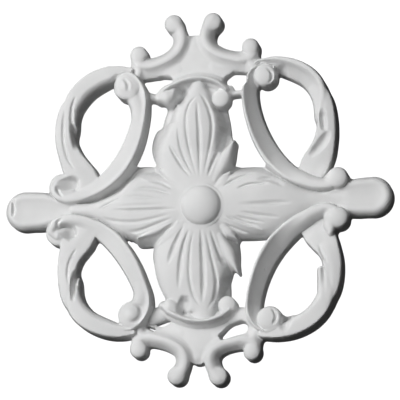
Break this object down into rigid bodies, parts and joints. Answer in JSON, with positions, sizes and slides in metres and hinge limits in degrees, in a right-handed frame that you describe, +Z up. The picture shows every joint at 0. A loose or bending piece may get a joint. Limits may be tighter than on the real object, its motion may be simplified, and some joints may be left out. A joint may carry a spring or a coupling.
{
  "type": "pierced rosette applique",
  "caption": "Pierced relief rosette with a fluted flower, leafy scrolls and round end lobes, cast in one piece with a flat back for fixing on a surface.",
  "frame": {"origin": "middle of the flat back, behind the flower", "axes": "+X to the right along the end lobes, seen from the front; +Z up; the relief faces -Y and the flat back faces +Y"},
  "size_m": [0.1662, 0.0166, 0.1608],
  "materials": {
    "primed_urethane": "factory primed rigid urethane, off-white, matt"
  },
  "bodies": {
    "root": {"rosette": "primed_urethane"}
  },
  "joints": []
}
